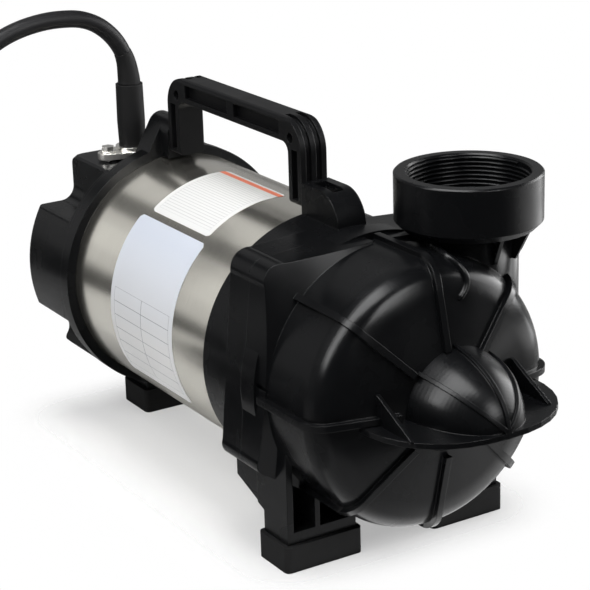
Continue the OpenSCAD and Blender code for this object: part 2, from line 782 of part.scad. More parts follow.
module handle() color(black) placed() translate([-handle_w / 2, 0, axis_h]) {
    y0 = -handle_front_s;
    l = handle_front_s - handle_back_s;
    h = handle_rise - handle_low;
    pocket_l = (l - 2 * leg_t - grip_web - 24) / 2;
    pocket_z = handle_rise - grip_t + grip_wall;
    ridge = handle_w / 5;
    difference() {
        intersection() {
            translate([0, y0, 0]) across(0, handle_w) difference() {
                handle_outline(l, h, handle_round);
                translate([leg_t, handle_low - 2 * handle_inner - 2])
                    round_rect(l - 2 * leg_t, h - grip_t + 2 * handle_inner + 2, handle_inner);
                for (y = [leg_t - 3, l - leg_t + 3]) translate([y, pocket_z]) circle(4);
            }
            translate([0, y0 + l + 1, handle_low]) rotate([90, 0, 0]) linear_extrude(l + 2)
                round_rect(handle_w, h, handle_edge);
        }
        for (x = [ridge, 3 * ridge]) translate([0, y0, 0]) across(x, ridge) difference() {
            for (y = [-1, l - handle_round - 4]) translate([y, handle_low - 1])
                square([handle_round + 5, h + 2]);
            translate([grip_groove, -1])
                handle_outline(l - 2 * grip_groove, h + 1 - grip_groove, handle_round - grip_groove);
        }
        for (x = [-1, handle_w - grip_wall], y = [leg_t + 12, leg_t + 12 + grip_web + pocket_l])
            translate([x, y0 + y, pocket_z])
                cube([grip_wall + 1, pocket_l, grip_t - 2 * grip_wall]);
        for (x = [-1, handle_w - grip_wall], y = [grip_wall + 1, l - leg_t + grip_wall + 1])
            translate([x, y0 + y, handle_low + grip_wall])
                cube([grip_wall + 1, leg_t - 2 * grip_wall - 2, h - grip_t - handle_inner]);
        for (y = [y0 - 1, y0 + l - screw_bite]) translate([handle_w / 2, y, screw_rise])
            rotate([-90, 0, 0]) cylinder(r = bolt_r + close_gap, h = screw_bite + 1);
    }
}

// A cap screw whose head bears at 0 and whose shank runs towards +Y
module cap_screw(l) rotate([-90, 0, 0]) {
    difference() {
        translate([0, 0, -screw_head_h]) cylinder(r = screw_head_r, h = screw_head_h);
        translate([0, 0, -screw_head_h - 1])
            cylinder(r = screw_key, h = screw_head_h - 1.5, $fn = 6);
    }
    cylinder(r = bolt_r, h = l);
}

module handle_screws() color(bright) placed() translate([0, 0, axis_h + screw_rise]) {
    l = lug_slot_s + screw_bite - 1;
    translate([0, -lug_slot_s, 0]) cap_screw(l);
    translate([0, -can_back_s - lug_reach + lug_slot_s, 0]) mirror([0, 1, 0]) cap_screw(l);
}

// A rubber shoe round the end of a leg
module foot_shoe(w, d) difference() {
    linear_extrude(foot_h) round_rect(w, d, 4);
    translate([foot_t - seat_gap, foot_t - seat_gap, foot_sole])
        cube([w - 2 * foot_t + 2 * seat_gap, d - 2 * foot_t + 2 * seat_gap, foot_h]);
}

module left_foot() color(rubber) placed()
    translate([-foot_x - foot_w / 2, -foot_back_s - foot_d, 0]) foot_shoe(foot_w, foot_d);

module right_foot() color(rubber) placed()
    translate([foot_x - foot_w / 2, -foot_back_s - foot_d, 0]) foot_shoe(foot_w, foot_d);

module rear_foot() color(rubber) placed()
    translate([-rear_foot_w / 2, -rear_foot_back_s, 0]) foot_shoe(rear_foot_w, rear_foot_d);

module gland_plate() color(bright) placed() translate([gland_x, -gland_s, clamp_z]) difference() {
    union() {
        linear_extrude(clamp_t) {
            circle(clamp_r);
            for (a = [0, 180]) rotate(a) boss_2d(clamp_r, gland_bolt_d, 8.5);
        }
        cylinder(r = boot_r + 3, h = clamp_t + 3);
    }
    translate([0, 0, -1]) cylinder(r = boot_r + seat_gap, h = clamp_t + 5);
    for (x = [-gland_bolt_d, gland_bolt_d]) translate([x, 0, -1])
        cylinder(r = tie_r + bolt_gap, h = clamp_t + 2);
}

module gland_bolts() color(bright) placed() for (side = [-1, 1])
    translate([gland_x + side * gland_bolt_d, -gland_s, clamp_z + clamp_t]) {
        cylinder(r = 6.6, h = 1.2);
        cylinder(r = tie_head_r, h = 1.2 + tie_head_h, $fn = 6);
        translate([0, 0, -clamp_t - 6]) cylinder(r = tie_r, h = clamp_t + 7);
    }

module cable_boot() color(rubber) placed() translate([gland_x, -gland_s, 0]) rotate_extrude()
    polygon([[0, seat_z], [boot_r + 4, seat_z], [boot_r + 4, clamp_z], [boot_r, clamp_z],
             [boot_r, clamp_z + clamp_t + 4], [boot_r + boot_swell, seat_z + boot_len / 2],
             [boot_top_r, boot_top_z],
             [0, boot_top_z]]);

// Direction of the path p at its point i
function unit(v) = v / norm(v);
function path_dir(p, i) = unit(p[min(i + 1, len(p) - 1)] - p[max(i - 1, 0)]);

// Rings carried along a path without twisting, by projecting the first side direction
function carry(p, i, u) = let (d = path_dir(p, i)) unit(u - (u * d) * d);
function side_dirs(p, u, i = 0) = i >= len(p) ? [] :
    let (w = carry(p, i, u)) concat([w], side_dirs(p, w, i + 1));

// A tube of n sides swept along the points p
module sweep_tube(p, r, n, first, last) {
    dirs = [for (i = [0 : len(p) - 1])
        i == 0 ? first : i == len(p) - 1 ? last : path_dir(p, i)];
    us = side_dirs(p, abs(first[2]) > 0.9 ? [1, 0, 0] : [0, 0, 1]);
    pts = [for (i = [0 : len(p) - 1]) let (u = unit(us[i] - (us[i] * dirs[i]) * dirs[i]),
           v = cross(dirs[i], u)) for (k = [0 : n - 1])
           p[i] + r * (cos(360 * k / n + 180 / n) * u + sin(360 * k / n + 180 / n) * v)];
    sides = [for (i = [0 : len(p) - 2], k = [0 : n - 1])
        let (a = i * n + k, b = i * n + (k + 1) % n) each [[a, b + n, b], [a, a + n, b + n]]];
    start = [for (k = [1 : n - 2]) [0, k, k + 1]];
    end = [for (k = [1 : n - 2]) let (o = (len(p) - 1) * n) [o, o + k + 1, o + k]];
    polyhedron(points = pts, faces = concat(start, sides, end));
}

module power_cord() color(rubber) placed()
    sweep_tube(cord_route, cord_r, 10, [0, 0, 1], [0, -1, 0]);

// Place along the coil after t turns: the turns run clockwise, in and out by layers,
// and climb in the half turn where the spiral reverses
function coil_reach(t) = let (k = floor(t / coil_turns), f = t / coil_turns - k)
    (k % 2 == 0 ? coil_out_r - f * coil_turns * coil_pitch
                : coil_in_r + f * coil_turns * coil_pitch);
function climb(t) = let (k = round(t / coil_turns),
    f = k < 1 || k > coil_layers - 1 ? 0 : min(1, max(0, (t - k * coil_turns) / 0.5 + 0.5)))
    (k < 1 ? 0 : k > coil_layers - 1 ? coil_layers - 1 : k - 1 + f * f * (3 - 2 * f));
function coil_point(t) = [coil_x + coil_reach(t) * cos(360 * t),
                          coil_y - coil_reach(t) * sin(360 * t),
                          coil_z + coil_pitch * climb(t)];
coil_end = coil_turns * coil_layers;
coil_steps = 24;
coil_path = [for (i = [0 : floor(coil_end * coil_steps)]) coil_point(i / coil_steps)];
coil_gap = min([for (i = [0 : len(coil_path) - 1], j = [i + coil_steps / 2 : 1 : len(coil_path) - 1])
    norm(coil_path[i] - coil_path[j])]) - cord_d;
coil_last_ang = -360 * (len(coil_path) - 1) / coil_steps;

module cord_coil() color(rubber) placed() {
    echo(least_gap_in_coil = coil_gap);
    sweep_tube(coil_path, cord_r, 6, [0, -1, 0],
               [sin(coil_last_ang), -cos(coil_last_ang), 0]);
}

function tail_point(q) = let (a = coil_last_ang - q[0])
    [coil_x + q[1] * cos(a), coil_y + q[1] * sin(a), q[2]];
tail_path = [for (q = tail_route) tail_point(q)];
tail_end = tail_path[len(tail_path) - 1];
tail_dir = unit(tail_end - tail_path[len(tail_path) - 2]);

module cord_tail() color(rubber) placed()
    sweep_tube(tail_path, cord_r, 10, [sin(coil_last_ang), -cos(coil_last_ang), 0], tail_dir);

// A strap round the whole pile of turns, at the back
module coil_tie() color(dull_black) placed() translate([coil_x, coil_y, 0]) rotate(90) {
    in = coil_in_r - cord_r - 1;
    out = coil_out_r + cord_r - 4;
    high = coil_z + (coil_layers - 1) * coil_pitch + cord_r + 1;
    difference() {
        translate([in - tie_t, -10, 0]) cube([out - in + 2 * tie_t, 20, high + tie_t]);
        translate([in, -11, tie_t]) cube([out - in, 22, high - tie_t]);
    }
}

// The plug lies along the tail's last direction
module at_plug() translate(tail_end) rotate(atan2(tail_dir[1], tail_dir[0])) children();

module plug_body() color(rubber) placed() at_plug() {
    relief = 22;
    rotate([0, 90, 0]) cylinder(r1 = cord_r, r2 = cord_r + 2.5, h = relief);
    translate([relief, -plug_w / 2, -plug_h / 2]) rotate([90, 0, 90])
        linear_extrude(plug_len - relief) round_rect(plug_w, plug_h, 7);
    translate([relief - 7, -plug_w / 2 + 5, -plug_h / 2 + 4]) rotate([90, 0, 90])
        linear_extrude(8) round_rect(plug_w - 10, plug_h - 8, 5);
}

module plug_blades() color(brass) placed() at_plug() translate([plug_len, 0, 0]) {
    for (y = [-6.35, 6.35]) translate([0, y - 0.75, -1]) cube([17, 1.5, 6.5]);
    translate([0, 0, -7.5]) rotate([0, 90, 0]) cylinder(r = 2.4, h = 20);
}

module slots_2d(w, r0, depth) for (i = [0 : slot_n - 1]) rotate(i * 360 / slot_n)
    translate([r0, -w / 2]) square([depth, w]);

module stator_core() color(iron) placed() on_shaft(stack_back_s) linear_extrude(stack_len)
    difference() {
        circle(stator_r);
        circle(stator_bore_r);
        slots_2d(slot_w, slot_root, slot_depth);
        for (a = tie_angles) rotate(a) translate([tie_d, 0]) circle(tie_r + bolt_gap);
        for (i = [0 : slot_n - 1]) rotate(i * 360 / slot_n)
            translate([stator_bore_r - 1, -1]) square([4, 2]);
    }

module stator_windings() color(copper) placed() on_shaft() {
    translate([0, 0, stack_back_s - 1]) linear_extrude(stack_len + 2)
        slots_2d(slot_w - 2 * seat_gap, slot_root + seat_gap, slot_depth - 2 * seat_gap);
    for (s = [stack_front_s + 0.5, stack_back_s - 0.5 - end_turn]) translate([0, 0, s])
        ring(slot_root + slot_depth, slot_root, end_turn);
}

module thermal_protector() color(dull_black) placed()
    on_shaft() translate([slot_root + 4, -9, stack_back_s - 0.5 - end_turn - 7])
    cube([10, 18, 7]);

capacitor_r = 18;
capacitor_l = 68;
capacitor_y = 48;
capacitor_clip = 40;
capacitor_back = 4;

module run_capacitor() color("#e8e6e0") placed() on_shaft()
    translate([-capacitor_l / 2, capacitor_y, cavity_end_s + capacitor_back + capacitor_r])
    rotate([0, 90, 0]) {
        cylinder(r = capacitor_r, h = capacitor_l);
        for (y = [-6, 6]) translate([0, y, capacitor_l]) cylinder(r = 1.6, h = 8);
    }

module rotor_core() color(iron) placed() on_shaft(stack_back_s) difference() {
    union() {
        cylinder(r = rotor_r, h = stack_len);
        translate([0, 0, -7]) cylinder(r = rotor_r - 2, h = stack_len + 14);
    }
    translate([0, 0, -8]) cylinder(r = shaft_mid_r + close_gap, h = stack_len + 16);
    for (z = [-8, stack_len + 1]) translate([0, 0, z]) cylinder(r = rotor_r - 12, h = 7);
}

module shaft() color(bright) placed() on_shaft() rotate_extrude() polygon([
    [0, rear_brg_s - 3], [shaft_rear_r - 1, rear_brg_s - 3], [shaft_rear_r, rear_brg_s - 2],
    [shaft_rear_r, rear_brg_s + rear_brg_w], [shaft_mid_r - 2, rear_brg_s + rear_brg_w],
    [shaft_mid_r - 2, rear_brg_s + rear_brg_w + 6], [shaft_mid_r, rear_brg_s + rear_brg_w + 8],
    [shaft_mid_r, -6], [shaft_r + 2, -5], [shaft_r + 2, 0], [shaft_r, 0],
    [shaft_r, impeller_back_s], [impeller_bore_r, impeller_back_s],
    [impeller_bore_r, impeller_front_s - hub_nose], [stud_r, impeller_front_s - hub_nose],
    [stud_r, impeller_front_s + nut_h + 2], [stud_r - 1, impeller_front_s + nut_h + 3],
    [0, impeller_front_s + nut_h + 3]]);

// One vane: a band along a circle that passes through the shaft axis
module vane_2d() intersection() {
    bend = 0.65 * impeller_r;
    translate([bend, 0]) difference() {
        circle(bend + 1.6);
        circle(bend - 1.6);
    }
    translate([-impeller_r, 0]) square(3 * impeller_r);
    difference() {
        circle(impeller_r);
        circle(12);
    }
}

module impeller() color("#3a3c3e") placed() on_shaft(impeller_back_s) difference() {
    union() {
        cylinder(r = impeller_r + 1, h = 4.5);
        cylinder(r1 = 18, r2 = 14, h = impeller_len);
        linear_extrude(impeller_len - 3) for (i = [0 : vane_n - 1]) rotate(i * 360 / vane_n)
            vane_2d();
    }
    translate([0, 0, -1]) cylinder(r = impeller_bore_r + close_gap, h = impeller_len - hub_nose + 1);
    cylinder(r = stud_r + close_gap, h = impeller_len + 1);
}

module impeller_nut() color(brass) placed() on_shaft(impeller_front_s) difference() {
    cylinder(r = 10, h = nut_h, $fn = 6);
    translate([0, 0, -1]) cylinder(r = stud_r + close_gap, h = nut_h + 2);
}

module seal_seat() color("#b9b4a8") placed() on_shaft(seal_s)
    ring(lip_seal_r, shaft_r + 1, 6);

module seal_ring() color("#2c2d30") placed() on_shaft(seal_s - run_gap - 6)
    ring(lip_seal_r - 1, shaft_r + close_gap, 6);

module seal_bellows() color(rubber) placed() on_shaft(web_s + bracket_web + 2) difference() {
    l = seal_s - run_gap - 6 - (web_s + bracket_web + 2);
    rotate_extrude() {
        translate([shaft_r, 0]) square([3, l]);
        for (i = [0 : 3]) translate([shaft_r + 3, l * (i + 0.5) / 4]) circle(l / 8 - 0.4);
    }
    translate([0, 0, -1]) cylinder(r = shaft_r + close_gap, h = l + 2);
}

module lip_seal() color(rubber) placed() on_shaft(web_s + 0.5) difference() {
    cylinder(r = lip_seal_r, h = bracket_web - 1);
    translate([0, 0, -1]) cylinder(r = shaft_r + run_gap, h = bracket_web + 1);
    translate([0, 0, 2]) ring(lip_seal_r - 2, shaft_r + 2, bracket_web);
}

// Deep groove ball bearing, drawn from its back face
function brg_pitch(r_out, r_in) = (r_out + r_in) / 2;
function ball_r(r_out, r_in) = 0.29 * (r_out - r_in);

module race_groove(r_out, r_in, w) translate([0, 0, w / 2]) rotate_extrude()
    translate([brg_pitch(r_out, r_in), 0]) circle(ball_r(r_out, r_in) + run_gap);

module bearing_outer(r_out, r_in, w) difference() {
    ring(r_out, brg_pitch(r_out, r_in) + 0.62 * ball_r(r_out, r_in), w);
    race_groove(r_out, r_in, w);
}

module bearing_inner(r_out, r_in, w) difference() {
    ring(brg_pitch(r_out, r_in) - 0.62 * ball_r(r_out, r_in), r_in + close_gap, w);
    race_groove(r_out, r_in, w);
}

module bearing_balls(r_out, r_in, w) {
    p = brg_pitch(r_out, r_in);
    b = ball_r(r_out, r_in);
    translate([0, 0, w / 2 - 2]) ring(p + 1.1, p - 1.1, 4);
    for (i = [0 : 7]) rotate(i * 45) translate([p, 0, w / 2]) sphere(b, $fn = 32);
}

module front_bearing_outer() color(bright) placed() on_shaft()
    bearing_outer(front_brg_r, shaft_r, front_brg_w);
module front_bearing_inner() color(bright) placed() on_shaft()
    bearing_inner(front_brg_r, shaft_r, front_brg_w);
module front_bearing_balls() color(steel) placed() on_shaft()
    bearing_balls(front_brg_r, shaft_r, front_brg_w);
module rear_bearing_outer() color(bright) placed() on_shaft(rear_brg_s)
    bearing_outer(rear_brg_r, shaft_rear_r, rear_brg_w);
module rear_bearing_inner() color(bright) placed() on_shaft(rear_brg_s)
    bearing_inner(rear_brg_r, shaft_rear_r, rear_brg_w);
module rear_bearing_balls() color(steel) placed() on_shaft(rear_brg_s)
    bearing_balls(rear_brg_r, shaft_rear_r, rear_brg_w);

pump_casing();
discharge_collar();
suction_visor();
backing_plate();
casing_o_ring();
motor_bracket();
casing_bolts();
motor_can();
front_gasket();
rear_gasket();
rear_cover();
tie_bolts();
handle();
handle_screws();
left_foot();
right_foot();
rear_foot();
gland_plate();
gland_bolts();
cable_boot();
power_cord();
cord_coil();
cord_tail();
coil_tie();
plug_body();
plug_blades();
stator_core();
stator_windings();
thermal_protector();
run_capacitor();
rotor_core();
shaft();
impeller();
impeller_nut();
seal_seat();
seal_ring();
seal_bellows();
lip_seal();
front_bearing_outer();
front_bearing_inner();
front_bearing_balls();
rear_bearing_outer();
rear_bearing_inner();
rear_bearing_balls();
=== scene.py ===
import math

import bmesh
import bpy
from mathutils import Matrix, Vector


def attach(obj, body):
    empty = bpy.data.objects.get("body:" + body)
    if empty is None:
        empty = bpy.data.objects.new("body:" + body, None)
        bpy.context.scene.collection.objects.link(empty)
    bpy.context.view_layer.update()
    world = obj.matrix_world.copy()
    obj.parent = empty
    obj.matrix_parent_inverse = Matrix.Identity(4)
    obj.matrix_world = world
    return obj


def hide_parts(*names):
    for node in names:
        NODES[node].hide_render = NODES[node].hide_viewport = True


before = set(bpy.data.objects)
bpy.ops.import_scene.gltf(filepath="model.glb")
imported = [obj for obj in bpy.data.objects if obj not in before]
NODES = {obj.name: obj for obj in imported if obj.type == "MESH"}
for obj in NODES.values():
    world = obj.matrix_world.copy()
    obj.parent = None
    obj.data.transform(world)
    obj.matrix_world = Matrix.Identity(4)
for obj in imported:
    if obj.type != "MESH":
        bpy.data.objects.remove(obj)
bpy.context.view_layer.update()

# Sizes are in metres, in the frame of the solids: -Y is the suction end, +Z is up and the
# feet stand on z = 0. SHAFT_X and CAN_FRONT place the pump's own drawing in that frame.
SHAFT_X = -0.005554
CAN_FRONT = -0.0365
AXIS_H = 0.127
CAN_R = 0.096

PUMP = "pump"


def on_pump(x, y, z):
    """A point given from the shaft's line, the can's front edge and the floor."""
    return Vector((SHAFT_X + x, CAN_FRONT + y, z))


def on_pump_mm(points):
    """The same for a list of points given in millimetres."""
    return [on_pump(x / 1000, y / 1000, z / 1000) for x, y, z in points]


# --- Camera -----------------------------------------------------------------------------

CAMERA_AT = on_pump(-0.7381, -1.1807, 0.6417)
CAMERA_FORWARD = Vector((0.49131, 0.80763, -0.32610))
CAMERA_ROLL = -0.0300
CAMERA_LENS = 120.92
CAMERA_SENSOR = 36


def add_camera():
    forward = CAMERA_FORWARD.normalized()
    level = forward.cross(Vector((0, 0, 1))).normalized()
    right = level * math.cos(CAMERA_ROLL) + level.cross(forward) * math.sin(CAMERA_ROLL)
    up = right.cross(forward)
    data = bpy.data.cameras.new("camera")
    data.lens = CAMERA_LENS
    data.sensor_width = CAMERA_SENSOR
    camera = bpy.data.objects.new("camera", data)
    turn = Matrix((right, up, -forward)).transposed()
    camera.matrix_world = Matrix.Translation(CAMERA_AT) @ turn.to_4x4()
    bpy.context.scene.collection.objects.link(camera)
    bpy.context.scene.camera = camera


# --- Power cord -------------------------------------------------------------------------

CORD_R = 0.007
COIL_X = -0.306
COIL_Y = 0.190
COIL_Z = 0.0079
COIL_IN_R = 0.056
COIL_PITCH = 0.0148
COIL_TURNS = 2.75
COIL_LAYERS = 4
COIL_STEPS = 24
COIL_OUT_R = COIL_IN_R + COIL_PITCH * COIL_TURNS
# How much of a turn the coil takes to climb a layer, points per span of a route, and facets
COIL_CLIMB = 0.5
ROUTE_STEPS = 4
CORD_FACETS = 5
# From the boot's mouth over to the coil, in millimetres
CORD_ROUTE = [
    (-16, 260, 277), (-16, 260, 282), (-18, 260, 297), (-23.5, 260, 310), (-32, 260, 321),
    (-43.5, 260, 330), (-57, 260, 335.5), (-72, 260, 337.5), (-88, 260, 337.5),
    (-106, 260, 335), (-123, 260, 330), (-139, 260, 322), (-154, 260.5, 311),
    (-168, 261.5, 297), (-180, 263, 280), (-189.5, 265, 261), (-197, 267.5, 239),
    (-202.5, 270, 215), (-206, 272.5, 188), (-208, 274.5, 160), (-209, 276, 131),
    (-209.3, 277, 103), (-209.3, 277, 84), (-209.3, 273.5, 63), (-209.3, 264.5, 43),
    (-209.3, 250.5, 26), (-209.3, 234, 14.5), (-209.3, 218, 9), (-209.3, 204, 7.9),
    (-209.3, 190, 7.9)]
# From the coil's end to the plug: degrees past the end, distance from the middle, height
TAIL_ROUTE = [
    (0, 96.7, 52.3), (8, 97, 53.3), (17, 97.4, 56), (27, 97.5, 60.5), (37, 97, 65.2),
    (46, 95.3, 69), (55, 92.5, 71.5), (63, 89, 72.5), (70, 85.2, 72.5)]


def coil_point(turn):
    """A place on the coil, which winds in and out by layers and climbs where it reverses."""
    layer = math.floor(turn / COIL_TURNS)
    along = turn - layer * COIL_TURNS
    reach = COIL_OUT_R - along * COIL_PITCH if layer % 2 == 0 else COIL_IN_R + along * COIL_PITCH
    change = round(turn / COIL_TURNS)
    if change < 1:
        climb = 0
    elif change > COIL_LAYERS - 1:
        climb = COIL_LAYERS - 1
    else:
        f = min(1, max(0, (turn - change * COIL_TURNS) / COIL_CLIMB + 0.5))
        climb = change - 1 + f * f * (3 - 2 * f)
    angle = 2 * math.pi * turn
    return on_pump(COIL_X + reach * math.cos(angle), COIL_Y - reach * math.sin(angle),
                   COIL_Z + COIL_PITCH * climb)


def smooth_path(points, per_span):
    """Points on a smooth curve through the given ones."""
    ends = [points[0] * 2 - points[1]] + points + [points[-1] * 2 - points[-2]]
    curve = []
    for i in range(len(points) - 1):
        a, b, c, d = ends[i:i + 4]
        for k in range(per_span):
            t = k / per_span
            curve.append(0.5 * (2 * b + (c - a) * t + (2 * a - 5 * b + 4 * c - d) * t * t
                                + (3 * b - a - 3 * c + d) * t ** 3))
    return curve + [points[-1]]


def round_bar(name, places, radii, finish, facets):
    """A round bar along the places, as thick as the radii say."""
    data = bpy.data.curves.new(name, "CURVE")
    data.dimensions = "3D"
    data.bevel_depth = 1
    data.bevel_resolution = facets
    data.use_fill_caps = True
    spline = data.splines.new("POLY")
    spline.points.add(len(places) - 1)
    spline.use_smooth = True
    for point, place, radius in zip(spline.points, places, radii):
        point.co = (*place, 1)
        point.radius = radius
    data.materials.append(MATERIALS[finish])
    bar = bpy.data.objects.new(name, data)
    bpy.context.scene.collection.objects.link(bar)
    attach(bar, PUMP)
    return bar


def add_cord():
    start = smooth_path(on_pump_mm(CORD_ROUTE), ROUTE_STEPS)
    steps = math.floor(COIL_TURNS * COIL_LAYERS * COIL_STEPS)
    coil = [coil_point(i / COIL_STEPS / 2) for i in range(2 * steps + 1)]
    last = 2 * math.pi * steps / COIL_STEPS
    tail = []
    for past, reach, height in TAIL_ROUTE:
        angle = -last - math.radians(past)
        r = reach / 1000
        tail.append(on_pump(COIL_X + r * math.cos(angle), COIL_Y + r * math.sin(angle),
                            height / 1000))
    tail[0] = coil[-1]
    path = start[:-1] + coil[:-1] + smooth_path(tail, ROUTE_STEPS)
    cord = round_bar("power_cord_run", path, [CORD_R] * len(path), "cord", CORD_FACETS)
    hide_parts("power_cord", "cord_coil", "cord_tail")


# --- Shader node groups -----------------------------------------------------------------

# Moulded skin: slow waves of gloss, and the scuffs' slant, stretch and the share that shows
GLOSS_WAVES = 22.0
SCUFF_SLANT = (0.6, 0.3, 0.9)
SCUFF_STRETCH = (30.0, 420.0, 90.0)
SCUFF_FROM, SCUFF_TO = 0.68, 0.76
# Brushed sheet: streaks per radian round the shaft, and cloudy patches
STREAK_ROUND = 2.0
CLOUDS = 14.0
DUST_PATCHES = 60.0
PAPER_FIBRES = 260.0
# The casing's front starts and is complete at these places along the pump
DOME_FROM, DOME_TO = -0.172, -0.176

class Tree:
    """A node tree with short calls for adding nodes and links."""

    def __init__(self, tree):
        self.tree = tree

    def add(self, kind, inputs=None, **settings):
        node = self.tree.nodes.new(kind)
        for key, value in settings.items():
            setattr(node, key, value)
        for key, value in (inputs or {}).items():
            if isinstance(value, bpy.types.NodeSocket):
                self.tree.links.new(value, node.inputs[key])
            else:
                node.inputs[key].default_value = value
        return node

    def math(self, operation, a, b=0.5):
        return self.add("ShaderNodeMath", {0: a, 1: b}, operation=operation).outputs[0]

    def mix(self, factor, a, b):
        node = self.add("ShaderNodeMix", data_type="RGBA")
        for socket, value in ((node.inputs[0], factor), (node.inputs[6], a), (node.inputs[7], b)):
            if isinstance(value, bpy.types.NodeSocket):
                self.tree.links.new(value, socket)
            else:
                socket.default_value = value
        return node.outputs[2]

    def spread(self, value, low, high, to_low, to_high):
        return self.add("ShaderNodeMapRange", {"Value": value, "From Min": low, "From Max": high,
                                               "To Min": to_low, "To Max": to_high}).outputs[0]


def node_group(name, inputs, outputs, build):
    """A node group with the named number inputs and the named outputs."""
    group = bpy.data.node_groups.new(name, "ShaderNodeTree")
    for label, value in inputs.items():
        socket = group.interface.new_socket(label, in_out="INPUT", socket_type="NodeSocketFloat")
        socket.default_value = value
    for label, kind in outputs.items():
        group.interface.new_socket(label, in_out="OUTPUT", socket_type=kind)
    tree = Tree(group)
    start = tree.add("NodeGroupInput")
    end = tree.add("NodeGroupOutput")
    for label, socket in build(tree, start.outputs).items():
        group.links.new(socket, end.inputs[label])
    return group


def moulded_skin(tree, given):
    """Fine pebble of a moulding, with slow waves of gloss and a few scuffs."""
    place = tree.add("ShaderNodeTexCoord").outputs["Object"]
    pebble = tree.add("ShaderNodeTexNoise", {"Vector": place, "Scale": given["Grain"],
                                             "Detail": 4.0, "Roughness": 0.6}).outputs["Fac"]
    slow = tree.add("ShaderNodeTexNoise", {"Vector": place, "Scale": GLOSS_WAVES,
                                           "Detail": 3.0, "Roughness": 0.55}).outputs["Fac"]
    stretch = tree.add("ShaderNodeMapping", {"Vector": place, "Rotation": SCUFF_SLANT,
                                             "Scale": SCUFF_STRETCH}).outputs[0]
    lines = tree.add("ShaderNodeTexNoise", {"Vector": stretch, "Scale": 1.0,
                                            "Detail": 2.0}).outputs["Fac"]
    scuff = tree.math("MULTIPLY", tree.spread(lines, SCUFF_FROM, SCUFF_TO, 0.0, 1.0),
                      given["Scuffs"])
    gloss = tree.math("ADD", tree.spread(slow, 0.35, 0.65, -0.5, 0.5), scuff)
    return {"Gloss": gloss, "Height": pebble, "Scuff": scuff}


def brushed_sheet(tree, given):
    """Fine streaks that run round the shaft, with faint cloudy patches."""
    place = tree.add("ShaderNodeTexCoord").outputs["Object"]
    centred = tree.add("ShaderNodeVectorMath", {0: place, 1: (SHAFT_X, 0, AXIS_H)},
                       operation="SUBTRACT").outputs[0]
    parts = tree.add("ShaderNodeSeparateXYZ", {0: centred}).outputs
    angle = tree.math("ARCTAN2", parts["Z"], parts["X"])
    round_can = tree.add("ShaderNodeCombineXYZ", {
        "X": tree.math("MULTIPLY", angle, STREAK_ROUND),
        "Y": tree.math("MULTIPLY", parts["Y"], given["Fineness"]), "Z": 0.0}).outputs[0]
    streak = tree.add("ShaderNodeTexNoise", {"Vector": round_can, "Scale": 1.0, "Detail": 5.0,
                                             "Roughness": 0.7}).outputs["Fac"]
    cloud = tree.add("ShaderNodeTexNoise", {"Vector": place, "Scale": CLOUDS,
                                            "Detail": 3.0}).outputs["Fac"]
    return {"Streak": streak, "Cloud": cloud}


def edge_dust(tree, given):
    """A thin haze that gathers low down and in patches."""
    place = tree.add("ShaderNodeTexCoord").outputs["Object"]
    height = tree.add("ShaderNodeSeparateXYZ", {0: place}).outputs["Z"]
    low = tree.spread(height, 0.0, given["Reach"], 1.0, 0.0)
    patch = tree.add("ShaderNodeTexNoise", {"Vector": place, "Scale": DUST_PATCHES,
                                            "Detail": 5.0, "Roughness": 0.7}).outputs["Fac"]
    return {"Dust": tree.math("MULTIPLY", tree.math("MULTIPLY", low, patch), given["Amount"])}


def domed_front(tree, given):
    """How far the casing's front falls away past the radius Start, and where the front is."""
    place = tree.add("ShaderNodeTexCoord").outputs["Object"]
    centred = tree.add("ShaderNodeVectorMath", {0: place, 1: (SHAFT_X, 0, AXIS_H)},
                       operation="SUBTRACT").outputs[0]
    across = tree.add("ShaderNodeVectorMath", {0: centred, 1: (1, 0, 1)},
                      operation="MULTIPLY").outputs[0]
    radius = tree.add("ShaderNodeVectorMath", {0: across}, operation="LENGTH").outputs["Value"]
    past = tree.math("MAXIMUM", tree.math("SUBTRACT", radius, given["Start"]), 0.0)
    fall = tree.math("MULTIPLY", tree.math("MULTIPLY", past, past), given["Rate"])
    along = tree.add("ShaderNodeSeparateXYZ", {0: place}).outputs["Y"]
    front = tree.spread(along, DOME_FROM, DOME_TO, 0.0, 1.0)
    return {"Height": tree.math("MULTIPLY", fall, -1.0), "Front": front}


def ruled_paper(tree, given):
    """A printed form without words: a frame, rules between rows and rules between columns."""
    place = tree.add("ShaderNodeUVMap", uv_map="print").outputs[0]
    parts = tree.add("ShaderNodeSeparateXYZ", {0: place}).outputs

    def inside(value, low, high):
        above = tree.math("GREATER_THAN", value, low)
        return tree.math("MULTIPLY", above, tree.math("LESS_THAN", value, high))

    def rules(value, low, high, count, thick):
        share = tree.spread(value, low, high, 0.0, 1.0)
        wave = tree.math("PINGPONG", tree.math("MULTIPLY", share, count), 0.5)
        return tree.math("LESS_THAN", wave, tree.math("MULTIPLY", thick, count))

    across = inside(parts["X"], given["Left"], given["Right"])
    down = inside(parts["Y"], given["Low"], given["High"])
    rows = rules(parts["Y"], given["Low"], given["High"], given["Rows"], given["Thickness"])
    columns = rules(parts["X"], given["Left"], given["Right"], given["Columns"], given["Thickness"])
    lines = tree.math("MULTIPLY", tree.math("MAXIMUM", rows, columns),
                      tree.math("MULTIPLY", across, down))
    fibre = tree.add("ShaderNodeTexNoise", {"Vector": place, "Scale": PAPER_FIBRES,
                                            "Detail": 4.0, "Roughness": 0.7}).outputs["Fac"]
    return {"Lines": lines, "Fibre": fibre, "Height": parts["Y"]}


